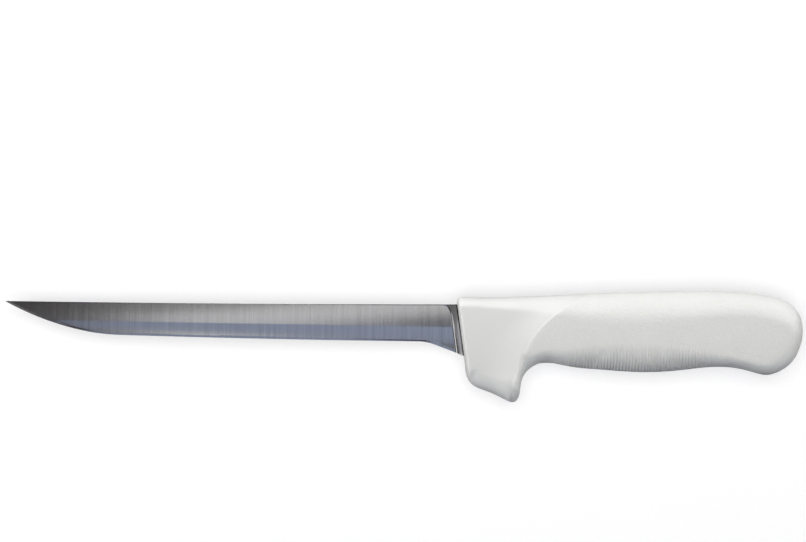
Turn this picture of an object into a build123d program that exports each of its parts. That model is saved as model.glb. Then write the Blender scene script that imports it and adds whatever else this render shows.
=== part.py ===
from build123d import *

import os
from math import cos, pi, radians, sin, tan

# A narrow fillet knife, lying on its side: a ground steel blade with a hidden tang, and a plastic
# handle with a finger guard that is moulded round the tang.
#
# All lengths are in millimetres. While it is made, the knife lies in the XY plane with the blade's
# middle plane at Z 0, its point towards -X, its back towards +Y, and X 0, Y 0 where the blade's
# back enters the handle. At the end it is moved on to the ground, with the origin under its middle.

# Blade, seen from the side
blade_length = 177.8
point_rise = 1.4
sweep_run = 40.0
sweep_depth = 11.8
sweep_bulge = 2.0
shoulder_radius = 60.0
edge_depth = 14.5
edge_bulge = 0.3
heel_run = 15.8
heel_radius = 20.0
heel_angle = 21.0

# Blade, seen from the back: the strip it is cut from, and what grinding leaves of it at the handle
# and at the point. The ridge is the line where the flat upper flank turns into the hollow lower one.
strip_thickness = 2.0
back_thickness = 1.8
back_thickness_point = 0.7
ridge_depth = 9.3
ridge_depth_point = 5.9
ridge_thickness = 1.36
ridge_thickness_point = 0.5
flank_depth = 20.5
flank_depth_point = 14.0
flank_thickness = 0.24
flank_thickness_point = 0.2
upper_crown = 0.04
lower_hollow = 0.13
edge_land = 0.1
edge_angle = 18.0

# Plunge: where the grinding stops short of the handle
plunge_gap = 2.4
plunge_rise = 2.4
plunge_radius = 1.6
plunge_turn = 6.0

# Tang, hidden in the handle
tang_seat = 7.0
tang_step = 2.0
tang_height = 14.0
tang_end_height = 11.0
tang_length = 104.0
tang_hole_diameter = 6.0
tang_hole_shares = [0.28, 0.58, 0.88]

# Handle
handle_length = 135.9
handle_thickness = 20.5
back_rise = 5.1
grip_depth = 32.9
guard_drop = 10.6
front_lean_share = 0.125
rounding_steps = 15

# How far each cutting tool runs past what it cuts
overrun = 3.0

# Stations round the handle's side view, anticlockwise from the front. Each row holds a point on the
# parting line and the point that faces it on the rim of the flat side panel: two shares for each,
# of the handle's length from the front and of the grip's depth from the top of the back. Past 1,
# the second share counts on down the drop of the guard.
front_shares = [
    (0.000, 0.157, 0.021, 0.246),
    (0.006, 0.342, 0.026, 0.366),
    (0.013, 0.569, 0.033, 0.557),
    (0.021, 0.821, 0.041, 0.737),
    (0.028, 1.037, 0.051, 0.844),
]
guard_shares = [
    (0.043, 1.341, 0.067, 0.913),
    (0.084, 1.585, 0.093, 0.962),
    (0.130, 1.848, 0.120, 0.988),
    (0.164, 2.004, 0.140, 0.988),
    (0.178, 1.815, 0.153, 0.928),
    (0.185, 1.296, 0.165, 0.809),
    (0.201, 0.955, 0.185, 0.671),
    (0.229, 0.873, 0.217, 0.575),
]
belly_shares = [
    (0.257, 0.844, 0.260, 0.551),
    (0.304, 0.880, 0.304, 0.575),
    (0.414, 0.933, 0.414, 0.623),
    (0.529, 0.964, 0.529, 0.653),
    (0.645, 0.941, 0.645, 0.641),
    (0.746, 0.901, 0.746, 0.617),
]
butt_shares = [
    (0.827, 0.933, 0.813, 0.659),
    (0.871, 0.983, 0.845, 0.687),
    (0.898, 0.999, 0.868, 0.691),
    (0.931, 0.957, 0.888, 0.669),
    (0.968, 0.844, 0.904, 0.615),
    (0.990, 0.683, 0.912, 0.545),
    (1.000, 0.474, 0.912, 0.468),
    (0.990, 0.276, 0.900, 0.411),
    (0.964, 0.150, 0.882, 0.383),
    (0.920, 0.072, 0.853, 0.366),
]
back_shares = [
    (0.824, 0.014, 0.798, 0.358),
    (0.645, 0.000, 0.645, 0.366),
    (0.414, 0.023, 0.414, 0.354),
    (0.226, 0.056, 0.226, 0.258),
    (0.090, 0.071, 0.095, 0.201),
    (0.022, 0.063, 0.042, 0.182),
    (0.003, 0.079, 0.025, 0.201),
]
station_shares = front_shares + guard_shares + belly_shares + butt_shares + back_shares


# Places on the blade that several steps share
point = Vector(-blade_length, point_rise)
shoulder = Vector(-blade_length + sweep_run, -sweep_depth)
heel = Vector(-heel_run, -edge_depth)


def cutting_edge(reach):
    """The cutting edge from the point, over the shoulder, to the heel that flares down.

    The flare runs on to X = reach. The curves go into the builder that calls this. The first and
    the last of them are given back.
    """
    sweep = SagittaArc(point, shoulder, -sweep_bulge)
    SagittaArc(shoulder, heel, -edge_bulge)
    turn = JernArc(heel, (1, 0), heel_radius, -heel_angle)
    run = reach - (turn @ 1).X
    flare = PolarLine(turn @ 1, run, -heel_angle, length_mode=LengthMode.HORIZONTAL)
    return sweep, flare


def soften_shoulder(sketch):
    """Round the corner where the swept point meets the long edge."""
    corner = sketch.vertices().sort_by_distance(shoulder)[0]
    fillet(corner, shoulder_radius)


def make_strip():
    """Blade and tang as they are cut from the strip, before any grinding."""
    tang_low = Vector(tang_seat, -tang_step - tang_height)
    tang_high = Vector(tang_seat, -tang_step)
    end_radius = tang_end_height / 2
    end_low = Vector(tang_length - end_radius, -tang_step - tang_height / 2 - end_radius)
    end_high = end_low + Vector(0, tang_end_height)
    with BuildSketch() as outline:
        with BuildLine():
            Bezier((0, 0), (-blade_length / 2, 0), point)
            _, flare = cutting_edge(tang_seat)
            Polyline(flare @ 1, tang_low, end_low)
            SagittaArc(end_low, end_high, -end_radius)
            Polyline(end_high, tang_high, (tang_seat, 0), (0, 0))
        make_face()
        soften_shoulder(outline)
    return extrude(outline.sketch, strip_thickness / 2, both=True)


def flank_section(along, back, ridge_drop, ridge, flank_drop, flank, top):
    """Cross-section of what the grinding wheel takes off one side, at X = along.

    The upper flank is slightly crowned and the lower one slightly hollow.
    """
    start = (top - overrun, back / 2)
    crest = (-ridge_drop, ridge / 2)
    low = (-flank_drop, flank / 2)
    outside = strip_thickness + overrun
    with BuildSketch(Plane.YZ.offset(along)) as section:
        with BuildLine():
            Line((top, back / 2), start)
            SagittaArc(start, crest, -upper_crown)
            SagittaArc(crest, low, lower_hollow)
            Polyline(low, (-flank_drop, outside), (top, outside), (top, back / 2))
        make_face()
    return section.sketch


def grinding_reach():
    """Side view of the ground part of the blade, which ends in a line along the handle's front."""
    ahead = -blade_length - 2 * overrun
    low = -flank_depth - overrun
    corner = (-plunge_gap - plunge_rise * front_lean_share, plunge_rise)
    with BuildSketch() as reach:
        with BuildLine():
            Polyline(
                (ahead, point_rise + plunge_rise),
                corner,
                (-plunge_gap - low * front_lean_share, low),
                (ahead, low),
                close=True,
            )
        make_face()
        fillet(reach.vertices().sort_by_distance(corner)[0], plunge_turn)
    return extrude(reach.sketch, strip_thickness + 2 * overrun, both=True)


def make_flank_cutter(reach):
    """The steel that grinding takes off one side, with the wheel's radius at the plunge."""
    at_handle = flank_section(
        tang_seat, back_thickness, ridge_depth, ridge_thickness,
        flank_depth, flank_thickness, overrun,
    )
    at_point = flank_section(
        -blade_length - overrun, back_thickness_point, ridge_depth_point, ridge_thickness_point,
        flank_depth_point, flank_thickness_point, point_rise + overrun,
    )
    cutter = loft([at_handle, at_point], ruled=True) & reach
    plunge_start = -plunge_gap - plunge_turn - plunge_radius
    foot = [
        edge for edge in cutter.edges()
        if edge.center().X > plunge_start and edge.center().Z < strip_thickness / 2
    ]
    return fillet(foot, plunge_radius)


def make_edge_cutter(reach):
    """What sharpening takes off both sides along the cutting edge, down to a narrow land."""
    inset = strip_thickness / 2 / tan(radians(edge_angle))
    behind = tang_length + tang_height
    with BuildSketch() as region:
        with BuildLine():
            sweep, flare = cutting_edge(behind)
            ahead = point - (sweep % 0) * flank_depth
            Polyline(flare @ 1, (behind, ahead.Y), ahead, point)
        make_face()
        soften_shoulder(region)
    full = region.sketch.face()
    land = Pos(0, 0, edge_land / 2)
    top = Pos(0, 0, edge_land / 2 + strip_thickness / 2)
    kept_above = loft([land * full, top * offset(full, -inset, kind=Kind.INTERSECTION)], ruled=True)
    kept = extrude(full, edge_land / 2, both=True) + kept_above + mirror(kept_above, Plane.XY)
    return reach - kept


def make_blade():
    """Blade and tang: the strip, sharpened, ground on both sides and drilled."""
    reach = grinding_reach()
    flank = make_flank_cutter(reach)
    blade = make_strip() - make_edge_cutter(reach) - flank - mirror(flank, Plane.XY)
    hole = Cylinder(tang_hole_diameter / 2, strip_thickness + overrun)
    tang_middle = -tang_step - tang_height / 2
    for share in tang_hole_shares:
        blade -= Pos(share * tang_length, tang_middle) * hole
    return blade


def side_point(along_share, down_share):
    """A point of the handle's side view, from its shares."""
    in_grip = min(down_share, 1)
    in_guard = max(down_share - 1, 0)
    down = in_grip * grip_depth + in_guard * guard_drop
    return Vector(along_share * handle_length, back_rise - down)


def contour_parameters():
    """How far round the handle each station lies, from 0 to 1, the same for every contour."""
    middles = [
        (side_point(*station[:2]) + side_point(*station[2:])) / 2 for station in station_shares
    ]
    steps = [(after - before).length for before, after in zip(middles, middles[1:] + middles[:1])]
    return [sum(steps[:count]) / sum(steps) for count in range(len(steps) + 1)]


def handle_contour(turn):
    """One closed contour of the moulding, at an angle round its rounded edge.

    At 0 it is the parting line. At a quarter turn it is the rim of the flat side panel. Between
    the two, each station runs along a quarter of an ellipse.
    """
    inward = 1 - cos(turn)
    height = handle_thickness / 2 * sin(turn)
    points = []
    for station in station_shares:
        line_point = side_point(*station[:2])
        panel_point = side_point(*station[2:])
        spot = line_point + (panel_point - line_point) * inward
        points.append(spot + Vector(0, 0, height))
    edge = Edge.make_spline(points, periodic=True, parameters=contour_parameters())
    return Face(Wire([edge]))


def make_handle(blade):
    """The moulding: a loft through its contours, closed round the tang.

    The contours lie so close together that straight bands between them follow the rounded edge to a
    hundredth of a millimetre. The plastic fills the tang's holes too, so plugs tie its two halves
    together.
    """
    turns = [pi / 2 * step / rounding_steps for step in range(-rounding_steps, rounding_steps + 1)]
    return loft([handle_contour(turn) for turn in turns], ruled=True) - blade


blade = make_blade()
handle = make_handle(blade)

# The knife lies on the flat side of its handle, over the origin
box = Compound([blade, handle]).bounding_box()
ground = Pos(-box.center().X, -box.center().Y, -box.min.Z)

os.makedirs("parts", exist_ok=True)
export_step(ground * blade, "parts/blade.step")
export_step(ground * handle, "parts/handle.step")

print("blade", round(blade.volume, 1), "handle", round(handle.volume, 1))
print("size", box.size)
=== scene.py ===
# %% [markdown]
# # A fillet knife on a white table
#
# The knife lies on its side and is seen from straight above. It has two pieces: a blade of ground
# steel, whose tang runs on into the handle, and a handle of white plastic that is moulded round
# the tang. Both are modelled here at their real size, in metres, inside the solids of the frame.

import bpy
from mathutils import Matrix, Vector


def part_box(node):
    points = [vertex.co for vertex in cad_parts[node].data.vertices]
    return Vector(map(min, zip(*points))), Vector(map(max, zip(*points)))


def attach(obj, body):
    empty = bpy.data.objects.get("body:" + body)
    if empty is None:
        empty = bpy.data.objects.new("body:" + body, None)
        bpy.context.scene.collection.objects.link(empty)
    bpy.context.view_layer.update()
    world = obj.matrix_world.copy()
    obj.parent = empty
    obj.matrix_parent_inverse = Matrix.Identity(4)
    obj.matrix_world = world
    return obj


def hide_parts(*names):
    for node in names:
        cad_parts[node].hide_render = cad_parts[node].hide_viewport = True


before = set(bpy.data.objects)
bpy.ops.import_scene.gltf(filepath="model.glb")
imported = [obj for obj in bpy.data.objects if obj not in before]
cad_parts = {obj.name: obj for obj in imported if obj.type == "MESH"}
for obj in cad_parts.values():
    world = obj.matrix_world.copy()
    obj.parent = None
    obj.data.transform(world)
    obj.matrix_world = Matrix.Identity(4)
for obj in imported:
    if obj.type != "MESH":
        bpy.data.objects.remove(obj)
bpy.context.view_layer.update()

# %% The modules and the unit
import math

import bpy
import numpy as np
from mathutils import Vector

MM = 0.001
print("Blender", bpy.app.version_string, "works in metres, and MM is", MM)

# %% [markdown]
# ## Working by operators
#
# A mesh could be made straight from lists of vertices. Operators are chosen instead, because each
# one is a step that can be done by hand too. An operator acts on whatever is selected, and loading
# the frame leaves its nodes selected. So each piece starts from an empty selection, and its parts
# are then selected by their place.


# %% Select and finish
def work_on(piece):
    """Object mode, with this piece alone selected and active."""
    if bpy.context.mode != "OBJECT":
        bpy.ops.object.mode_set(mode="OBJECT")
    bpy.ops.object.select_all(action="DESELECT")
    piece.select_set(True)
    bpy.context.view_layer.objects.active = piece


def start_piece(name, add_primitive, **settings):
    """Add a primitive by its operator, with nothing else selected, and name it."""
    if bpy.context.mode != "OBJECT":
        bpy.ops.object.mode_set(mode="OBJECT")
    bpy.ops.object.select_all(action="DESELECT")
    add_primitive(**settings)
    piece = bpy.context.object
    piece.name = name
    piece.data.name = name
    return piece


def edit_all(piece):
    """Edit mode, with the whole piece selected."""
    work_on(piece)
    bpy.ops.object.mode_set(mode="EDIT")
    bpy.ops.mesh.select_all(action="SELECT")


def edit_edges(piece, test):
    """Edit mode, with only the edges selected whose two ends both pass the test."""
    edit_all(piece)
    bpy.ops.mesh.select_all(action="DESELECT")
    bpy.ops.mesh.select_mode(type="EDGE")
    bpy.ops.object.mode_set(mode="OBJECT")
    passed = [test(vertex.co) for vertex in piece.data.vertices]
    for edge in piece.data.edges:
        edge.select = all(passed[index] for index in edge.vertices)
    bpy.ops.object.mode_set(mode="EDIT")


def apply_modifier(piece, kind, **settings):
    """Add a modifier, set it up, and make its result the mesh."""
    work_on(piece)
    modifier = piece.modifiers.new(kind.title(), kind)
    for name, value in settings.items():
        setattr(modifier, name, value)
    bpy.ops.object.modifier_apply(modifier=modifier.name)


def weigh(piece, name, weight):
    """A vertex group with each vertex's weight from a function. Blender keeps it from 0 to 1."""
    group = piece.vertex_groups.new(name=name)
    for vertex in piece.data.vertices:
        group.add([vertex.index], weight(vertex), "REPLACE")


def report(piece):
    """Print how large a piece is, in millimetres, and how many faces it has."""
    size = [round(length / MM, 2) for length in piece.dimensions]
    print(piece.name, "size", size, "faces", len(piece.data.polygons))


print("nodes in the frame", sorted(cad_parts))

# %% [markdown]
# ## The blade's outline
#
# The blade is cut from flat strip. Its back is almost straight and rises a little towards the
# point. The edge sweeps up to the point in one slow curve, runs nearly parallel to the back, and
# flares down again at the heel. Behind the handle's front the strip goes on as the tang.
#
# The outline could be drawn by eye as a curve. Here a few named sizes give its corners and bends,
# so that it stays exact and is easy to change. It is drawn in a frame of its own, with X 0 where
# the back meets the handle, and only at the end is it moved to its place in the knife.

# %% Sizes of the outline
blade_length = 177.8 * MM
point_rise = 1.4 * MM
sweep_run = 40.0 * MM
sweep_depth = 11.8 * MM
sweep_bulge = 2.0 * MM
shoulder_reach = 4.6 * MM
edge_depth = 14.5 * MM
edge_bulge = 0.3 * MM
heel_run = 15.8 * MM
heel_radius = 20.0 * MM
heel_angle = math.radians(21)
strip_thickness = 2.0 * MM
tang_seat = 7.0 * MM
tang_top = 2.0 * MM
tang_height = 14.0 * MM
tang_end_height = 11.0 * MM
tang_length = 104.0 * MM
tang_hole_radius = 3.0 * MM
tang_hole_places = [0.28 * tang_length, 0.58 * tang_length, 0.88 * tang_length]
back_steps = 60
sweep_steps = 40
edge_steps = 60
shoulder_steps = 8
heel_steps = 10
print("blade and tang", round((blade_length + tang_length) / MM, 1), "mm long")


# %% Curves of the outline
def bent(start, pull, end, steps):
    """Points from start to end along a curve that leaves and arrives in line with pull."""
    shares = [step / steps for step in range(steps + 1)]
    return [start * (1 - t) ** 2 + pull * 2 * t * (1 - t) + end * t**2 for t in shares]


def bulged(start, end, bulge, steps):
    """Points along a shallow arc whose middle stands off to the right by bulge."""
    run = end - start
    side = Vector((run.y, -run.x)).normalized()
    return bent(start, (start + end) / 2 + side * 2 * bulge, end, steps)


point = Vector((-blade_length, point_rise))
shoulder = Vector((-blade_length + sweep_run, -sweep_depth))
heel = Vector((-heel_run, -edge_depth))
heel_corner = heel + Vector((heel_radius * math.tan(heel_angle / 2), 0))
heel_end = heel + Vector((
    heel_radius * math.sin(heel_angle),
    -heel_radius * (1 - math.cos(heel_angle)),
))
flare_end = heel_end + Vector((1, -math.tan(heel_angle))) * (tang_seat - heel_end.x)

back = bent(Vector((0, 0)), Vector((-blade_length / 2, 0)), point, back_steps)
sweep = [spot for spot in bulged(point, shoulder, sweep_bulge, sweep_steps)
         if (spot - shoulder).length > shoulder_reach]
long_edge = [spot for spot in bulged(shoulder, heel, edge_bulge, edge_steps)
             if (spot - shoulder).length > shoulder_reach]
turn = bent(sweep[-1], shoulder, long_edge[0], shoulder_steps)
heel_curve = bent(heel, heel_corner, heel_end, heel_steps)
cutting_edge = sweep + turn[1:-1] + long_edge + heel_curve[1:] + [flare_end]
print("points on the cutting edge", len(cutting_edge))

# %% The tang's outline
end_radius = tang_end_height / 2
end_middle = Vector((tang_length - end_radius, -tang_top - tang_height / 2))
end_angles = [math.radians(angle) for angle in range(-90, 91, 10)]
tang = [Vector((tang_seat, -tang_top - tang_height))]
tang += [end_middle + end_radius * Vector((math.cos(a), math.sin(a))) for a in end_angles]
tang += [Vector((tang_seat, -tang_top)), Vector((tang_seat, 0))]
outline = back[:-1] + cutting_edge + tang
print("points in the outline", len(outline))

# %% [markdown]
# ## From outline to sheet
#
# A blade could be joined from cross sections, but they would have to follow the point and the
# heel at once. A real one is cut from sheet and then ground, and that way is taken here too.
#
# One corner is pulled along the outline, as a pen is led round a pattern, and the closed line is
# filled with one flat face. An inset then draws the line where the sharpening will stop. After
# that the sheet is cut into a fine net: across, where the blade will change most, and along the
# lines in which the grinding runs. Every vertex of the net then gets its own thickness.

# %% Draw the sheet
def draw_sheet(name, spots):
    """Draw a flat face by pulling one corner along a list of spots, as a pen is led round."""
    sheet = start_piece(name, bpy.ops.mesh.primitive_plane_add, size=MM)
    bpy.ops.object.mode_set(mode="EDIT")
    bpy.ops.mesh.merge(type="CENTER")
    bpy.ops.transform.translate(value=spots[0].to_3d())
    for start, end in zip(spots, spots[1:]):
        bpy.ops.mesh.extrude_vertices_move(TRANSFORM_OT_translate={"value": (end - start).to_3d()})
    bpy.ops.mesh.select_all(action="SELECT")
    bpy.ops.mesh.edge_face_add()
    bpy.ops.object.mode_set(mode="OBJECT")
    return sheet


blade = draw_sheet("ground_blade", outline)
report(blade)

# %% Draw the line where the sharpening stops
bevel_width = 0.8 * MM
edit_all(blade)
bpy.ops.mesh.inset(thickness=bevel_width, depth=0, use_even_offset=True)
bpy.ops.object.mode_set(mode="OBJECT")
print("faces with the line", len(blade.data.polygons))

# %% Cut the net
same_spot = 0.001 * MM


def cut_line(piece, start, end):
    """Cut every face of a flat piece along the line through two points."""
    edit_all(piece)
    run = end - start
    bpy.ops.mesh.bisect(
        plane_co=(start.x, start.y, 0), plane_no=(run.y, -run.x, 0), threshold=same_spot,
    )


handle_lean = 0.125
plunge_gap = 1.5 * MM
net_start = -8.0 * MM
fine_step = 0.12 * MM
coarse_step = 2.5 * MM
point_step = 1.0 * MM
point_net = -125.0 * MM
fine_end = tang_seat / 4
tang_net_step = 4 * coarse_step
fine_columns = np.arange(net_start, fine_end, fine_step)
point_columns = np.arange(-blade_length + point_step / 2, point_net, point_step)
coarse_columns = np.arange(point_net, net_start, coarse_step)
tang_columns = np.arange(tang_seat + coarse_step, tang_length, tang_net_step)
upright_columns = [*point_columns, *coarse_columns, *tang_columns]
for column in upright_columns:
    cut_line(blade, Vector((column, 0)), Vector((column, -edge_depth)))
for column in fine_columns:
    cut_line(blade, Vector((column, 0)), Vector((column + handle_lean * edge_depth, -edge_depth)))
print("columns", len(upright_columns) + len(fine_columns))

# %% [markdown]
# ## How the blade is ground
#
# Each side has two flanks. The upper one, from the back down to the ridge, is nearly flat and a
# little crowned. The lower one, from the ridge to the edge, is ground a little hollow. Both get
# thinner towards the point, and end near the handle in a wall, the plunge, whose top bends away
# from the handle.
#
# Wedges could be cut away to leave such flanks. But they are curved and taper as they go, and that
# is easier to say as a thickness for each spot. The lines of the net follow the flanks from handle
# to point, so that the ridge lies exactly on one of them.

# %% Sizes of the grinding, at the handle and at the point
net_end = -blade_length - 3.0 * MM
back_thickness = [1.8 * MM, 0.7 * MM]
ridge_depth = [9.3 * MM, 5.9 * MM]
ridge_thickness = [1.36 * MM, 0.5 * MM]
flank_depth = [20.5 * MM, 14.0 * MM]
flank_thickness = [0.24 * MM, 0.2 * MM]
back_depth = [0.0, -point_rise]
upper_crown = 0.04 * MM
lower_hollow = 0.13 * MM
edge_land = 0.1 * MM
plunge_radius = 1.6 * MM
turn_height = 5.0 * MM
turn_end = 0.3 * MM
turn_reach = 2.0 * MM
turn_limit = 0.999
upper_rows = 20
lower_rows = 36


# %% Cut the lines of the flanks
def between(pair, share):
    """The value a share of the way from the handle's to the point's."""
    return pair[0] + (pair[1] - pair[0]) * share


def flank_line(upper, lower, share):
    """The line of the net that runs a share of the way from one pair of depths to another."""
    at_handle = upper[0] + (lower[0] - upper[0]) * share
    at_point = upper[1] + (lower[1] - upper[1]) * share
    return Vector((tang_seat, -at_handle)), Vector((net_end, -at_point))


for row in range(1, upper_rows + 1):
    cut_line(blade, *flank_line(back_depth, ridge_depth, row / upper_rows))
for row in range(1, lower_rows):
    cut_line(blade, *flank_line(ridge_depth, flank_depth, row / lower_rows))
print("faces in the net", len(blade.data.polygons))


# %% The thickness at each place
edge_starts = np.array([tuple(spot) for spot in cutting_edge[:-1]])
edge_runs = np.array([tuple(spot) for spot in cutting_edge[1:]]) - edge_starts


def edge_distance(spot):
    """How far a spot of the sheet lies from the cutting edge."""
    ahead = np.array(tuple(spot)) - edge_starts
    share = np.clip((ahead * edge_runs).sum(1) / (edge_runs**2).sum(1), 0, 1)
    return float(np.linalg.norm(ahead - edge_runs * share[:, None], axis=1).min())


def wall_distance(spot):
    """How far a spot lies ahead of the wall in which the grinding ends."""
    rise = min(turn_limit, max(0, (spot.y + turn_height) / (turn_height + turn_end)))
    bend = math.sqrt(1 - rise * rise)
    wall_x = -plunge_gap - handle_lean * spot.y - turn_reach * (1 - bend)
    slope = handle_lean + turn_reach * rise / bend / (turn_height + turn_end)
    return (wall_x - spot.x) / math.hypot(1, slope)


def ground_thickness(spot):
    """How thick the flanks leave the blade, before it is sharpened."""
    share = (tang_seat - spot.x) / (tang_seat - net_end)
    depth = -spot.y
    ridge = between(ridge_depth, share)
    if depth < ridge:
        top = between(back_depth, share)
        down = max(0, (depth - top) / (ridge - top))
        thick, thin = between(back_thickness, share), between(ridge_thickness, share)
        swell = upper_crown
    else:
        down = (depth - ridge) / (between(flank_depth, share) - ridge)
        thick, thin = between(ridge_thickness, share), between(flank_thickness, share)
        swell = -lower_hollow
    # 4 * down * (1 - down) is 1 in the middle of a flank, and there are two sides.
    return thick + (thin - thick) * down + 8 * swell * down * (1 - down)


def blade_thickness(spot):
    """How thick the finished blade is at a spot of the sheet."""
    wall = wall_distance(spot)
    if wall <= 0:
        return strip_thickness
    bevel = min(1, edge_distance(spot) / bevel_width)
    thickness = edge_land + (ground_thickness(spot) - edge_land) * bevel
    if wall < plunge_radius:
        drop = math.sqrt(plunge_radius**2 - (plunge_radius - wall) ** 2)
        thickness += 2 * (plunge_radius - drop)
    return min(strip_thickness, thickness)


for place in [(-20, -5), (-20, -12), (-150, -3)]:
    thickness = blade_thickness(Vector(place) * MM)
    print("at", place, "mm the blade is", round(thickness / MM, 3), "mm thick")

# %% [markdown]
# ## From sheet to blade
#
# The Solidify modifier turns the sheet into steel. It grows by the same amount on both sides, and
# the weight of each vertex says how much. Moving a second copy of the sheet would do this too, but
# Solidify also closes the border all round. Three holes let the plastic of the handle flow through
# the tang, and the sharp corners along the back are broken a little.

# %% Thicken the sheet and drill the tang
bpy.ops.object.mode_set(mode="OBJECT")
weigh(blade, "thickness", lambda vertex: blade_thickness(vertex.co.xy) / strip_thickness)
apply_modifier(
    blade, "SOLIDIFY", thickness=strip_thickness, offset=0, vertex_group="thickness",
    thickness_vertex_group=0,
)
for place in tang_hole_places:
    drill = start_piece("drill", bpy.ops.mesh.primitive_cylinder_add, vertices=48,
                        radius=tang_hole_radius, depth=2 * strip_thickness,
                        location=(place, end_middle.y, 0))
    apply_modifier(blade, "BOOLEAN", operation="DIFFERENCE", object=drill, solver="EXACT")
    bpy.data.objects.remove(drill)
edit_all(blade)
bpy.ops.mesh.normals_make_consistent(inside=False)
bpy.ops.object.mode_set(mode="OBJECT")
report(blade)

# %% Break the corners of the back
corner_break = 0.25 * MM
line_width = 0.02 * MM
last_share = 0.97


def on_back_corner(spot):
    """True along the two corners between the back and the sides, except at the very point."""
    share = -spot.x / blade_length
    off_back = abs(spot.y - point_rise * share**2)
    along = -tang_seat / blade_length < share < last_share
    return along and off_back < line_width and abs(spot.z) > corner_break


edit_edges(blade, on_back_corner)
bpy.ops.mesh.bevel(offset=corner_break, segments=1)
bpy.ops.object.mode_set(mode="OBJECT")
report(blade)

# %% Move the blade to its place
blade_crease = math.radians(20)
blade_low, blade_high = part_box("blade")
blade_root = Vector((
    blade_low.x + blade_length,
    blade_high.y - point_rise,
    (blade_low.z + blade_high.z) / 2,
))
work_on(blade)
blade.location = blade_root
bpy.ops.object.transform_apply(location=True, rotation=True, scale=True)
bpy.ops.object.shade_smooth_by_angle(angle=blade_crease)
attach(blade, "root")
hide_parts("blade")
report(blade)

# %% [markdown]
# ## The handle
#
# The handle is one moulding of white plastic, round all over, with a guard for the finger. It
# could be built anew as a subdivision surface. But its solid in the frame already has the right
# outline, only as a CAD mesh: few, long triangles in straight bands. So the solid is copied and
# merged, the room for the tang is filled, and a fine, even skin is laid over it and smoothed.

# %% Copy the moulding
handle = bpy.data.objects.new("moulded_handle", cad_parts["handle"].data.copy())
bpy.context.scene.collection.objects.link(handle)
handle.data.materials.clear()
edit_all(handle)
bpy.ops.mesh.remove_doubles(threshold=same_spot)
bpy.ops.object.mode_set(mode="OBJECT")
handle_low, handle_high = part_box("handle")
report(handle)

# %% Fill the room for the tang
filling_margin = 0.3 * MM
front_gap = 3.0 * MM
fill_drop = 7.0 * MM
fill_low = blade_root + Vector((front_gap, -tang_top - tang_height - fill_drop, 0))
fill_high = blade_root + Vector((tang_length + filling_margin, -filling_margin, 0))
filling = start_piece("filling", bpy.ops.mesh.primitive_cube_add, size=1,
                      location=(fill_low + fill_high) / 2)
filling.scale = (
    fill_high.x - fill_low.x,
    fill_high.y - fill_low.y,
    strip_thickness + 2 * filling_margin,
)
apply_modifier(handle, "BOOLEAN", operation="UNION", object=filling, solver="EXACT")
bpy.data.objects.remove(filling)
report(handle)

# %% Lay the skin
skin_step = 0.45 * MM
smoothing = {"factor": 0.5, "iterations": 8}
apply_modifier(handle, "REMESH", mode="VOXEL", voxel_size=skin_step, use_smooth_shade=True)
apply_modifier(handle, "SMOOTH", **smoothing)
report(handle)

# %% [markdown]
# ## The form of the two sides
#
# The real handle isn't equally round everywhere. Its rounding is fuller towards the guard and the
# butt than in the palm, its smooth collar is let in ahead of the textured grip, and both sides are
# a little crowned. Sculpting could do this. Moving each vertex along Z, by an amount that depends
# on where it is, gives the same on both sides and leaves the outline as it is.

# %% Push the two sides in or out
side_half = (handle_high.z - handle_low.z) / 2
blade_middle = Vector((blade_root.x, 0, blade_root.z))


def smooth_step(share):
    """Rise from 0 to 1 without a corner at either end."""
    share = min(1, max(0, share))
    return share * share * (3 - 2 * share)


def push_sides(name, most, amount):
    """Move both sides along Z by a share of most, a function of place, height and direction."""
    for side in (1, -1):
        def weight(vertex):
            spot = vertex.co - blade_middle
            height = min(1, side * spot.z / side_half)
            level = math.hypot(vertex.normal.x, vertex.normal.y)
            facing = vertex.normal.y / level if level > 0 else 0
            return amount(spot, height, facing) if height > 0 else 0

        group = f"{name}_{side}"
        weigh(handle, group, weight)
        apply_modifier(handle, "DISPLACE", direction="Z", strength=side * most, mid_level=0,
                       vertex_group=group)


print("half of the handle's thickness", round(side_half / MM, 2), "mm")

# %% Make the rounding fuller towards the guard and the butt
palm_middle = 70.0 * MM
palm_half = 8.0 * MM
palm_fade = 32.0 * MM
fullness = 0.95
guard_end = 31.0 * MM
guard_fade = 6.0 * MM
guard_loss = 0.9
below_from = 0.3
below_fade = 0.4
palm_slack = 0.3
back_keep = 0.25
fuller_most = 2.5 * MM


def fuller(spot, height, facing):
    """The share by which a spot of the rounding moves out. Below 0, in the palm, it stays."""
    off_palm = smooth_step((abs(spot.x - palm_middle) - palm_half) / palm_fade)
    gain = fullness * off_palm - palm_slack * (1 - off_palm) * (1 - height**4)
    below = smooth_step((-facing - below_from) / below_fade)
    gain *= 1 - guard_loss * below * smooth_step((guard_end - spot.x) / guard_fade)
    kept = back_keep * smooth_step((spot.x - palm_middle) / palm_half)
    gain *= 1 - (1 - kept) * smooth_step(facing)
    inward = (1 + gain) * (1 - math.sqrt(1 - height * height))
    full_height = math.sqrt(1 - max(0, 1 - inward) ** 2)
    return (full_height - height) * side_half / fuller_most


push_sides("fuller", fuller_most, fuller)
report(handle)

# %% Let in the collar and crown the sides
grip_start = 27.45 * MM
grip_slant = 0.4
grip_bend = 34.0
recess_run = 15.0 * MM
recess_depth = 1.6 * MM
recess_ease = 0.13
crown_depth = 0.5 * MM
crown_reach = 14.0 * MM
side_middle = 3.5 * MM


def grip_edge(height):
    """Where the texture starts, for a height over the middle of the frame."""
    return grip_start + grip_slant * height + grip_bend * max(0, height) ** 2


def eased(share):
    """0, and then share itself, with a short bend round 0 in place of the corner."""
    if share > recess_ease:
        return share
    return max(0, share + recess_ease) ** 2 / (4 * recess_ease)


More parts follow.
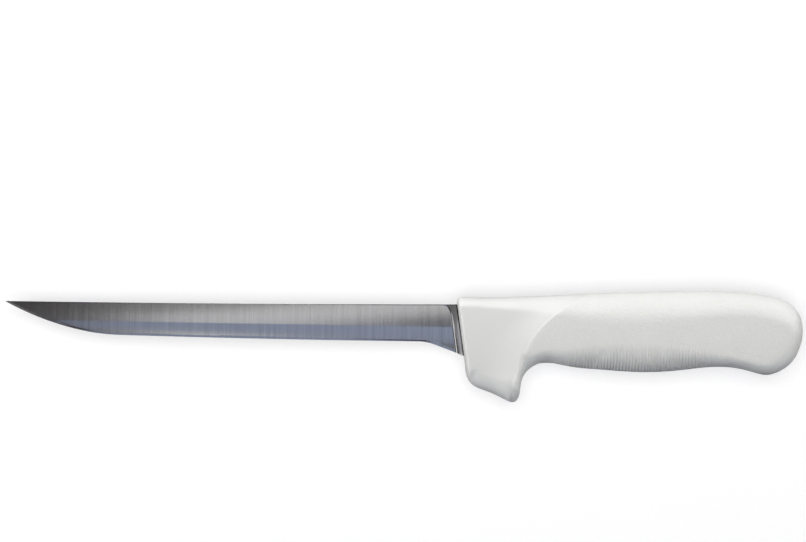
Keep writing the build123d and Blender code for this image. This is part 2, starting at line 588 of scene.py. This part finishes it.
def recess(spot, height, facing):
    """The share by which a side is let in: its crown, and ahead of the grip the collar's dip."""
    before = min(1, eased((grip_edge(spot.y) - spot.x) / recess_run))
    crown = min(1, (spot.y - side_middle) ** 2 / crown_reach**2)
    depth = recess_depth * (1 - (1 - before) ** 2) + crown_depth * crown
    return depth / (recess_depth + crown_depth) * height


push_sides("recess", -recess_depth - crown_depth, recess)
apply_modifier(handle, "SMOOTH", **smoothing)
report(handle)

# %% [markdown]
# ## The slot for the blade
#
# Where the steel goes into the plastic there is a hair-thin gap. The laid skin can't hold so fine
# a form, so a shallow slot, a little wider than the strip, is cut into the handle's front last.

# %% Cut the slot for the blade
handle_crease = math.radians(50)
slot_depth = 0.5 * MM
slot_gap = 0.35 * MM
heel_drop = 20.6 * MM
slot_tool = start_piece("slot_tool", bpy.ops.mesh.primitive_cube_add, size=1)
slot_tool.scale = (2 * slot_depth, heel_drop + 2 * slot_gap, strip_thickness + 2 * slot_gap)
bpy.ops.object.transform_apply(location=False, rotation=False, scale=True)
slot_tool.rotation_euler.z = math.atan(handle_lean)
slot_tool.location = blade_root + Vector((handle_lean * heel_drop / 2, -heel_drop / 2, 0))
apply_modifier(handle, "BOOLEAN", operation="DIFFERENCE", object=slot_tool, solver="EXACT")
bpy.data.objects.remove(slot_tool)
work_on(handle)
bpy.ops.object.shade_smooth_by_angle(angle=handle_crease)
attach(handle, "root")
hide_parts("handle")
report(handle)

# %% [markdown]
# ## Materials as arithmetic
#
# A material is a sum of patterns. Its nodes could be added and linked one by one, but then the sum
# is hard to read. The first class below wraps the output of a shader node, so that a pattern is
# written as an expression, and each operator adds its Math node by itself. The second class is a
# workshop for one material, and adds every other kind of node.


# %% A socket that can be added and multiplied
class Value:
    """One number that varies over a surface, with the operators that patterns need."""

    def __init__(self, shop, socket):
        self.shop = shop
        self.socket = socket

    def combined(self, operation, *others):
        return self.shop.add("ShaderNodeMath", {"operation": operation}, [self, *others])

    def __add__(self, other):
        return self.combined("ADD", other)

    def __sub__(self, other):
        return self.combined("SUBTRACT", other)

    def __mul__(self, other):
        return self.combined("MULTIPLY", other)

    def __rsub__(self, other):
        return self.shop.add("ShaderNodeMath", {"operation": "SUBTRACT"}, [other, self])

    __radd__ = __add__
    __rmul__ = __mul__

    def larger(self, other):
        return self.combined("MAXIMUM", other)

    def sine(self):
        return self.combined("SINE")

    def size(self):
        return self.combined("ABSOLUTE")

    def step(self, low, high):
        """0 up to low, 1 from high on, and a smooth rise between them."""
        values = {"Value": self, "From Min": low, "From Max": high}
        return self.shop.add("ShaderNodeMapRange", {"interpolation_type": "SMOOTHSTEP"}, values)


# %% A workshop for one material
class Shop:
    """A material, its shader, and the one method by which any other node is added."""

    def __init__(self, name, **shader_settings):
        self.material = bpy.data.materials.new(name)
        self.material.use_nodes = True
        self.nodes = self.material.node_tree.nodes
        self.links = self.material.node_tree.links
        self.shader = self.nodes["Principled BSDF"]
        for socket, value in shader_settings.items():
            self.shader.inputs[socket.replace("_", " ")].default_value = value
        self.place = self.add("ShaderNodeTexCoord", {}, {}, output="Object")

    def add(self, kind, settings, values, output=0):
        """Add a node: its settings first, then the values or links of its sockets."""
        node = self.nodes.new(kind)
        for name, value in settings.items():
            setattr(node, name, value)
        pairs = values.items() if isinstance(values, dict) else enumerate(values)
        for key, value in pairs:
            if isinstance(value, Value):
                self.links.new(value.socket, node.inputs[key])
            else:
                node.inputs[key].default_value = value
        return Value(self, node.outputs[output])

    def axes(self):
        """The three coordinates of the place on the object, in metres."""
        split = "ShaderNodeSeparateXYZ"
        return [self.add(split, {}, {"Vector": self.place}, output=axis) for axis in "XYZ"]

    def noise(self, scale, detail=2.0):
        """Noise from 0 to 1 whose grains are 1/scale metres long on each axis."""
        stretched = self.add("ShaderNodeMapping", {}, {"Vector": self.place, "Scale": scale})
        values = {"Vector": stretched, "Scale": 1.0, "Detail": detail}
        return self.add("ShaderNodeTexNoise", {}, values, output="Fac")

    def blend(self, factor, first, second):
        """A colour between two, by a factor from 0 to 1."""
        settings = {"data_type": "RGBA"}
        return self.add("ShaderNodeMix", settings, {0: factor, 6: first, 7: second}, output=2)

    def feed(self, socket, value):
        """Link a value to an input of the shader."""
        self.links.new(value.socket, self.shader.inputs[socket])

    def relief(self, height, depth):
        """Turn a height from 0 to 1 into the light and shade of a relief this deep, in metres."""
        values = {"Height": height, "Distance": depth, "Strength": 1.0}
        self.feed("Normal", self.add("ShaderNodeBump", {}, values, output="Normal"))


# %% [markdown]
# ## The look of the steel
#
# The flanks are ground across, so fine lines run from the back to the edge: noise that changes
# quickly along X and slowly along Y. Where the blade still has the full thickness of the strip,
# next to the handle, the steel is as it was rolled. It is duller, gets paler towards the edge, has
# one thin painted highlight line, and ends in a black strip of painted shade at the plastic.
#
# The lines could be cut into the mesh, but they are far finer than its net, so they are a relief
# that only the light sees.

# %% Ground steel
ground_greys = [(0.40, 0.40, 0.405, 1), (0.78, 0.78, 0.785, 1)]
rolled_greys = [(0.40, 0.39, 0.37, 1), (0.70, 0.67, 0.68, 1)]
# Painted light by the handle: a thin white highlight line and a black strip of shade.
painted_highlight_white = (1.0, 0.98, 0.97, 1)
seam_shade_black = (0.02, 0.018, 0.015, 1)
rolled_rise = (strip_thickness / 2 - 0.03 * MM, strip_thickness / 2 - 0.01 * MM)
low_rise = (-14 * MM, -1 * MM)
seam_shade_rise = (-0.5 * MM, -0.3 * MM)
seam_shade_lean = -0.25
highlight_start = (-1.0 * MM, -0.9 * MM)
highlight_stop = (-0.55 * MM, -0.45 * MM)
highlight_depth = (-8 * MM, -5 * MM)
line_depth = 0.006 * MM
fine_lines = (6000, 60, 60)
broad_lines = (700, 25, 25)
fine_share = 0.6
polish = 0.1
line_roughness = 0.04
rolled_roughness = 0.25


def ground_steel():
    """Grey steel with fine lines from back to edge, and rolled steel at the handle."""
    shop = Shop("ground_steel", Metallic=1.0)
    x, y, z = shop.axes()
    fine = shop.noise(fine_lines, detail=3.0)
    broad = shop.noise(broad_lines)
    lines = fine * fine_share + broad * (1 - fine_share)
    rolled = (z - blade_root.z).size().step(*rolled_rise)
    height = y - blade_root.y
    front = x - blade_root.x + height * handle_lean
    bright = shop.blend(lines, *ground_greys)
    low = 1 - height.step(*low_rise)
    # Painted shade: black in a thin strip just ahead of the handle's front, narrower lower down.
    seam_shade = (front + low * seam_shade_lean * MM).step(*seam_shade_rise)
    # Painted highlight: a thin white line a little further ahead, on the lower part only.
    painted_highlight_line = front.step(*highlight_start) * (1 - front.step(*highlight_stop))
    painted_highlight_line = painted_highlight_line * (1 - height.step(*highlight_depth))
    # The rolled steel's own greys, with the painted highlight line laid over them.
    scale = shop.blend(painted_highlight_line, shop.blend(low, *rolled_greys), painted_highlight_white)
    rolled_colour_and_painted_light = shop.blend(seam_shade, scale, seam_shade_black)
    shop.feed("Base Color", shop.blend(rolled, bright, rolled_colour_and_painted_light))
    shop.feed("Roughness", polish + lines * line_roughness + rolled * rolled_roughness)
    shop.relief(lines, line_depth)
    return shop.material


steel = ground_steel()
blade.data.materials.clear()
blade.data.materials.append(steel)
print("nodes in the steel", len(steel.node_tree.nodes))

# %% [markdown]
# ## The look of the plastic
#
# White polypropylene lets a little light in, so it has some subsurface. The collar and the guard
# are smooth. From the slanting edge on, the grip has a fine grain from the mould, and its lower
# part under the palm has ribs across it, with painted shade in their grooves. A faint line runs
# round the handle where the two halves of the mould met. Grain, ribs and line are as shallow as
# the marks of the mould, so they are a relief of the material, and the mesh under it stays smooth.

# %% White plastic
plastic_whites = [(0.665, 0.67, 0.655, 1), (0.69, 0.69, 0.675, 1)]
groove_shade_grey = (0.59, 0.595, 0.585, 1)
light_reach = (1.4 * MM, 1.3 * MM, 1.1 * MM)
grip_ease = 0.8 * MM
rib_pitch = 1.22 * MM
rib_height = 2.2
grain_height = 1.1
texture_depth = 0.18 * MM
palm_rise = (38 * MM, 50 * MM)
palm_fall = (90 * MM, 108 * MM)
rib_rise = (-7 * MM, 4 * MM)
patch_rise = (0.1, 0.6)
wander_share = 2.5
groove_shade_share = 0.45
parting_rise = (0.05 * MM, 0.12 * MM)
parting_height = 0.4
gloss = 0.32
grip_roughness = 0.2
grain_roughness = 0.05


def white_plastic():
    """White plastic: smooth on the collar and the guard, grained and finely ribbed on the grip."""
    shop = Shop("white_plastic", IOR=1.49, Subsurface_Weight=0.06)
    shop.shader.inputs["Subsurface Radius"].default_value = light_reach
    shop.shader.inputs["Subsurface Scale"].default_value = 1.0
    x, y, z = shop.axes()
    above = y.larger(0)
    edge = y * grip_slant + above * above * grip_bend + grip_start + blade_root.x
    grip = (x - edge).step(-grip_ease, grip_ease)
    wander = shop.noise((120, 120, 120))
    grain = shop.noise((2600, 2600, 2600))
    wave = (x * (math.tau / rib_pitch) + wander * wander_share).sine() * 0.5 + 0.5
    run = x - blade_root.x
    palm = run.step(*palm_rise) * (1 - run.step(*palm_fall))
    low = 1 - y.step(*rib_rise)
    ribbed = palm * low * shop.noise((200, 60, 200)).step(*patch_rise)
    speckle = shop.noise((900, 900, 900))
    texture = grip * (ribbed * wave * rib_height + grain * grain_height + speckle)
    parting = 1 - (z - blade_root.z).size().step(*parting_rise)
    mottle = shop.noise((90, 90, 90))
    plain = shop.blend(mottle, *plastic_whites)
    # Painted shade: the grooves between the ribs are coloured a darker grey.
    shaded_grooves = ribbed * (1 - wave)
    shop.feed("Base Color", shop.blend(shaded_grooves * groove_shade_share, plain, groove_shade_grey))
    shop.feed("Roughness", gloss + grip * grip_roughness + grain * grain_roughness)
    shop.relief(texture + parting * parting_height, texture_depth)
    return shop.material


plastic = white_plastic()
handle.data.materials.clear()
handle.data.materials.append(plastic)
print("nodes in the plastic", len(plastic.node_tree.nodes))

# %% [markdown]
# ## The camera
#
# The photograph is taken from straight above with a long lens. The camera stands over the middle
# of its frame, and the lens is as long as it takes to see the frame's width from there.

# %% Camera
frame_width = 316.9 * MM
frame_middle = Vector((-0.3 * MM, 29.8 * MM, blade_root.z))
camera_height = 1.5
bpy.ops.object.select_all(action="DESELECT")
camera_place = frame_middle + Vector((0, 0, camera_height))
bpy.ops.object.camera_add(location=camera_place, rotation=(0, 0, 0))
camera = bpy.context.object
camera.data.lens = camera.data.sensor_width * camera_height / frame_width
camera.data.clip_end = 10
bpy.context.scene.camera = camera
print("lens", round(camera.data.lens, 1))

# %% [markdown]
# ## The light
#
# White plastic shows how strong the light is from each side, so four soft boxes stand round the
# knife: the strongest low behind the back, one at each end, and a weak blue one in front of the
# edge. A fifth hangs overhead and alone casts the soft shadow. A sixth, high behind, rounds off
# the form. Four of them are hidden from reflections, so that the steel stays calm, and the light
# of the two behind doesn't bounce, so that the handle throws none of it on the floor.


# %% Soft boxes
def hang_light(name, place, size, energy, colour, shadow=True):
    """A flat rectangular light that faces the knife and that the camera doesn't see."""
    bpy.ops.object.select_all(action="DESELECT")
    bpy.ops.object.light_add(type="AREA", location=place)
    light = bpy.context.object
    light.name = name
    light.data.shape = "RECTANGLE"
    light.data.size, light.data.size_y = size
    light.data.color = colour
    light.data.energy = energy
    light.data.use_shadow = shadow
    light.rotation_euler = (-Vector(place)).to_track_quat("-Z", "Y").to_euler()
    light.visible_camera = False
    return light


def soft_box(name, place, size, strength, colour=(1, 1, 1), shadow=False):
    """A light whose strength is 1 where it alone would make white paper that faces it white."""
    energy = strength * math.pi**2 * Vector(place).length_squared
    return hang_light(name, place, size, energy, colour, shadow)


low_back = soft_box("low_back", (0.0, 1.2, 0.12), (1.6, 0.22), 1.04)
high_back = soft_box("high_back", (0.0, 0.85, 0.85), (1.2, 0.3), 0.25)
soft_box("front", (0.0, -1.2, 0.21), (1.6, 0.3), 0.125, colour=(0.55, 0.7, 1.0))
left = soft_box("left", (-1.2, 0.0, 0.17), (0.6, 0.3), 0.7)
right = soft_box("right", (1.2, 0.0, 0.17), (0.6, 0.3), 0.37)
overhead = soft_box("overhead", (0.0, 0.0, 1.2), (1.35, 1.35), 0.755, shadow=True)
for light in [low_back, left, right, overhead]:
    light.visible_glossy = False
for light in [low_back, high_back]:
    light.data.cycles.max_bounces = 0

# %% [markdown]
# ## What the steel sees
#
# Ground steel is a dim mirror. Seen from above, it shows what hangs over the knife, so its tones
# are made with cards that only reflections see: a slanted white strip for the upper flank, a haze
# that fades it out towards the point, a pale blue card for the lower flank, a dimmer one for the
# sharpening near the point, and a white one on the left for the curve in which the grinding ends.
# Four dim walls round the table give the steel something to show from the side too.


# %% Cards over the blade
def steel_card(name, place, size, radiance, colour=(1, 1, 1), turn=0.0, level=True):
    """A card for reflections only, as bright as radiance times white paper."""
    card = hang_light(name, place, size, radiance * math.pi * size[0] * size[1], colour)
    card.visible_diffuse = False
    if level:
        card.rotation_euler = (0, 0, turn)
    return card


steel_card("strip", (0.18, 0.071, 1.8), (0.925, 0.122), 0.8, turn=math.radians(29))
steel_card("haze", (-0.14, -0.03, 1.8), (0.24, 0.3), 0.28)
steel_card("blue", (0.05, -0.59, 1.8), (0.72, 0.82), 0.44, colour=(0.62, 0.73, 1.0))
steel_card("point", (-0.55, -0.95, 1.8), (0.6, 0.6), 0.15, colour=(0.8, 0.86, 1.0))
steel_card("plunge", (-1.0, -0.2, 0.9), (0.7, 0.7), 0.8, level=False)
steel_card("far_wall", (0.0, 2.2, 1.3), (4.2, 1.9), 0.3, level=False)
steel_card("butt_wall", (2.2, 0.0, 1.3), (4.2, 1.9), 0.3, level=False)
steel_card("near_wall", (0.0, -2.2, 1.3), (4.2, 1.9), 0.15, level=False)
steel_card("point_wall", (-2.2, 0.0, 1.3), (4.2, 1.9), 0.15, level=False)

# %% [markdown]
# ## The floor
#
# The knife lies on plain white paper. It glows a little, so that it is white up to the picture's
# edge, and neither the plastic nor the steel sees it. The world is nearly black, which is what the
# steel shows between the cards.

# %% Floor and background
floor_size = 6
paper_whites = [(0.88, 0.88, 0.88, 1), (0.9, 0.9, 0.9, 1)]
paper_glow = 0.155
night = (0.065, 0.06, 0.06, 1)
floor = start_piece("floor", bpy.ops.mesh.primitive_plane_add, size=floor_size)
paper = Shop("white_paper", Roughness=0.9)
paper.feed("Base Color", paper.blend(paper.noise((60, 60, 60)), *paper_whites))
paper.shader.inputs["Emission Color"].default_value = (1, 1, 1, 1)
paper.shader.inputs["Emission Strength"].default_value = paper_glow
floor.data.materials.append(paper.material)
floor.visible_diffuse = False
floor.visible_glossy = False
world = bpy.data.worlds.new("studio")
bpy.context.scene.world = world
world.use_nodes = True
world.node_tree.nodes["Background"].inputs["Color"].default_value = night
bpy.context.scene.view_settings.view_transform = "Standard"
print("floor", floor_size, "m wide, world", world.name)
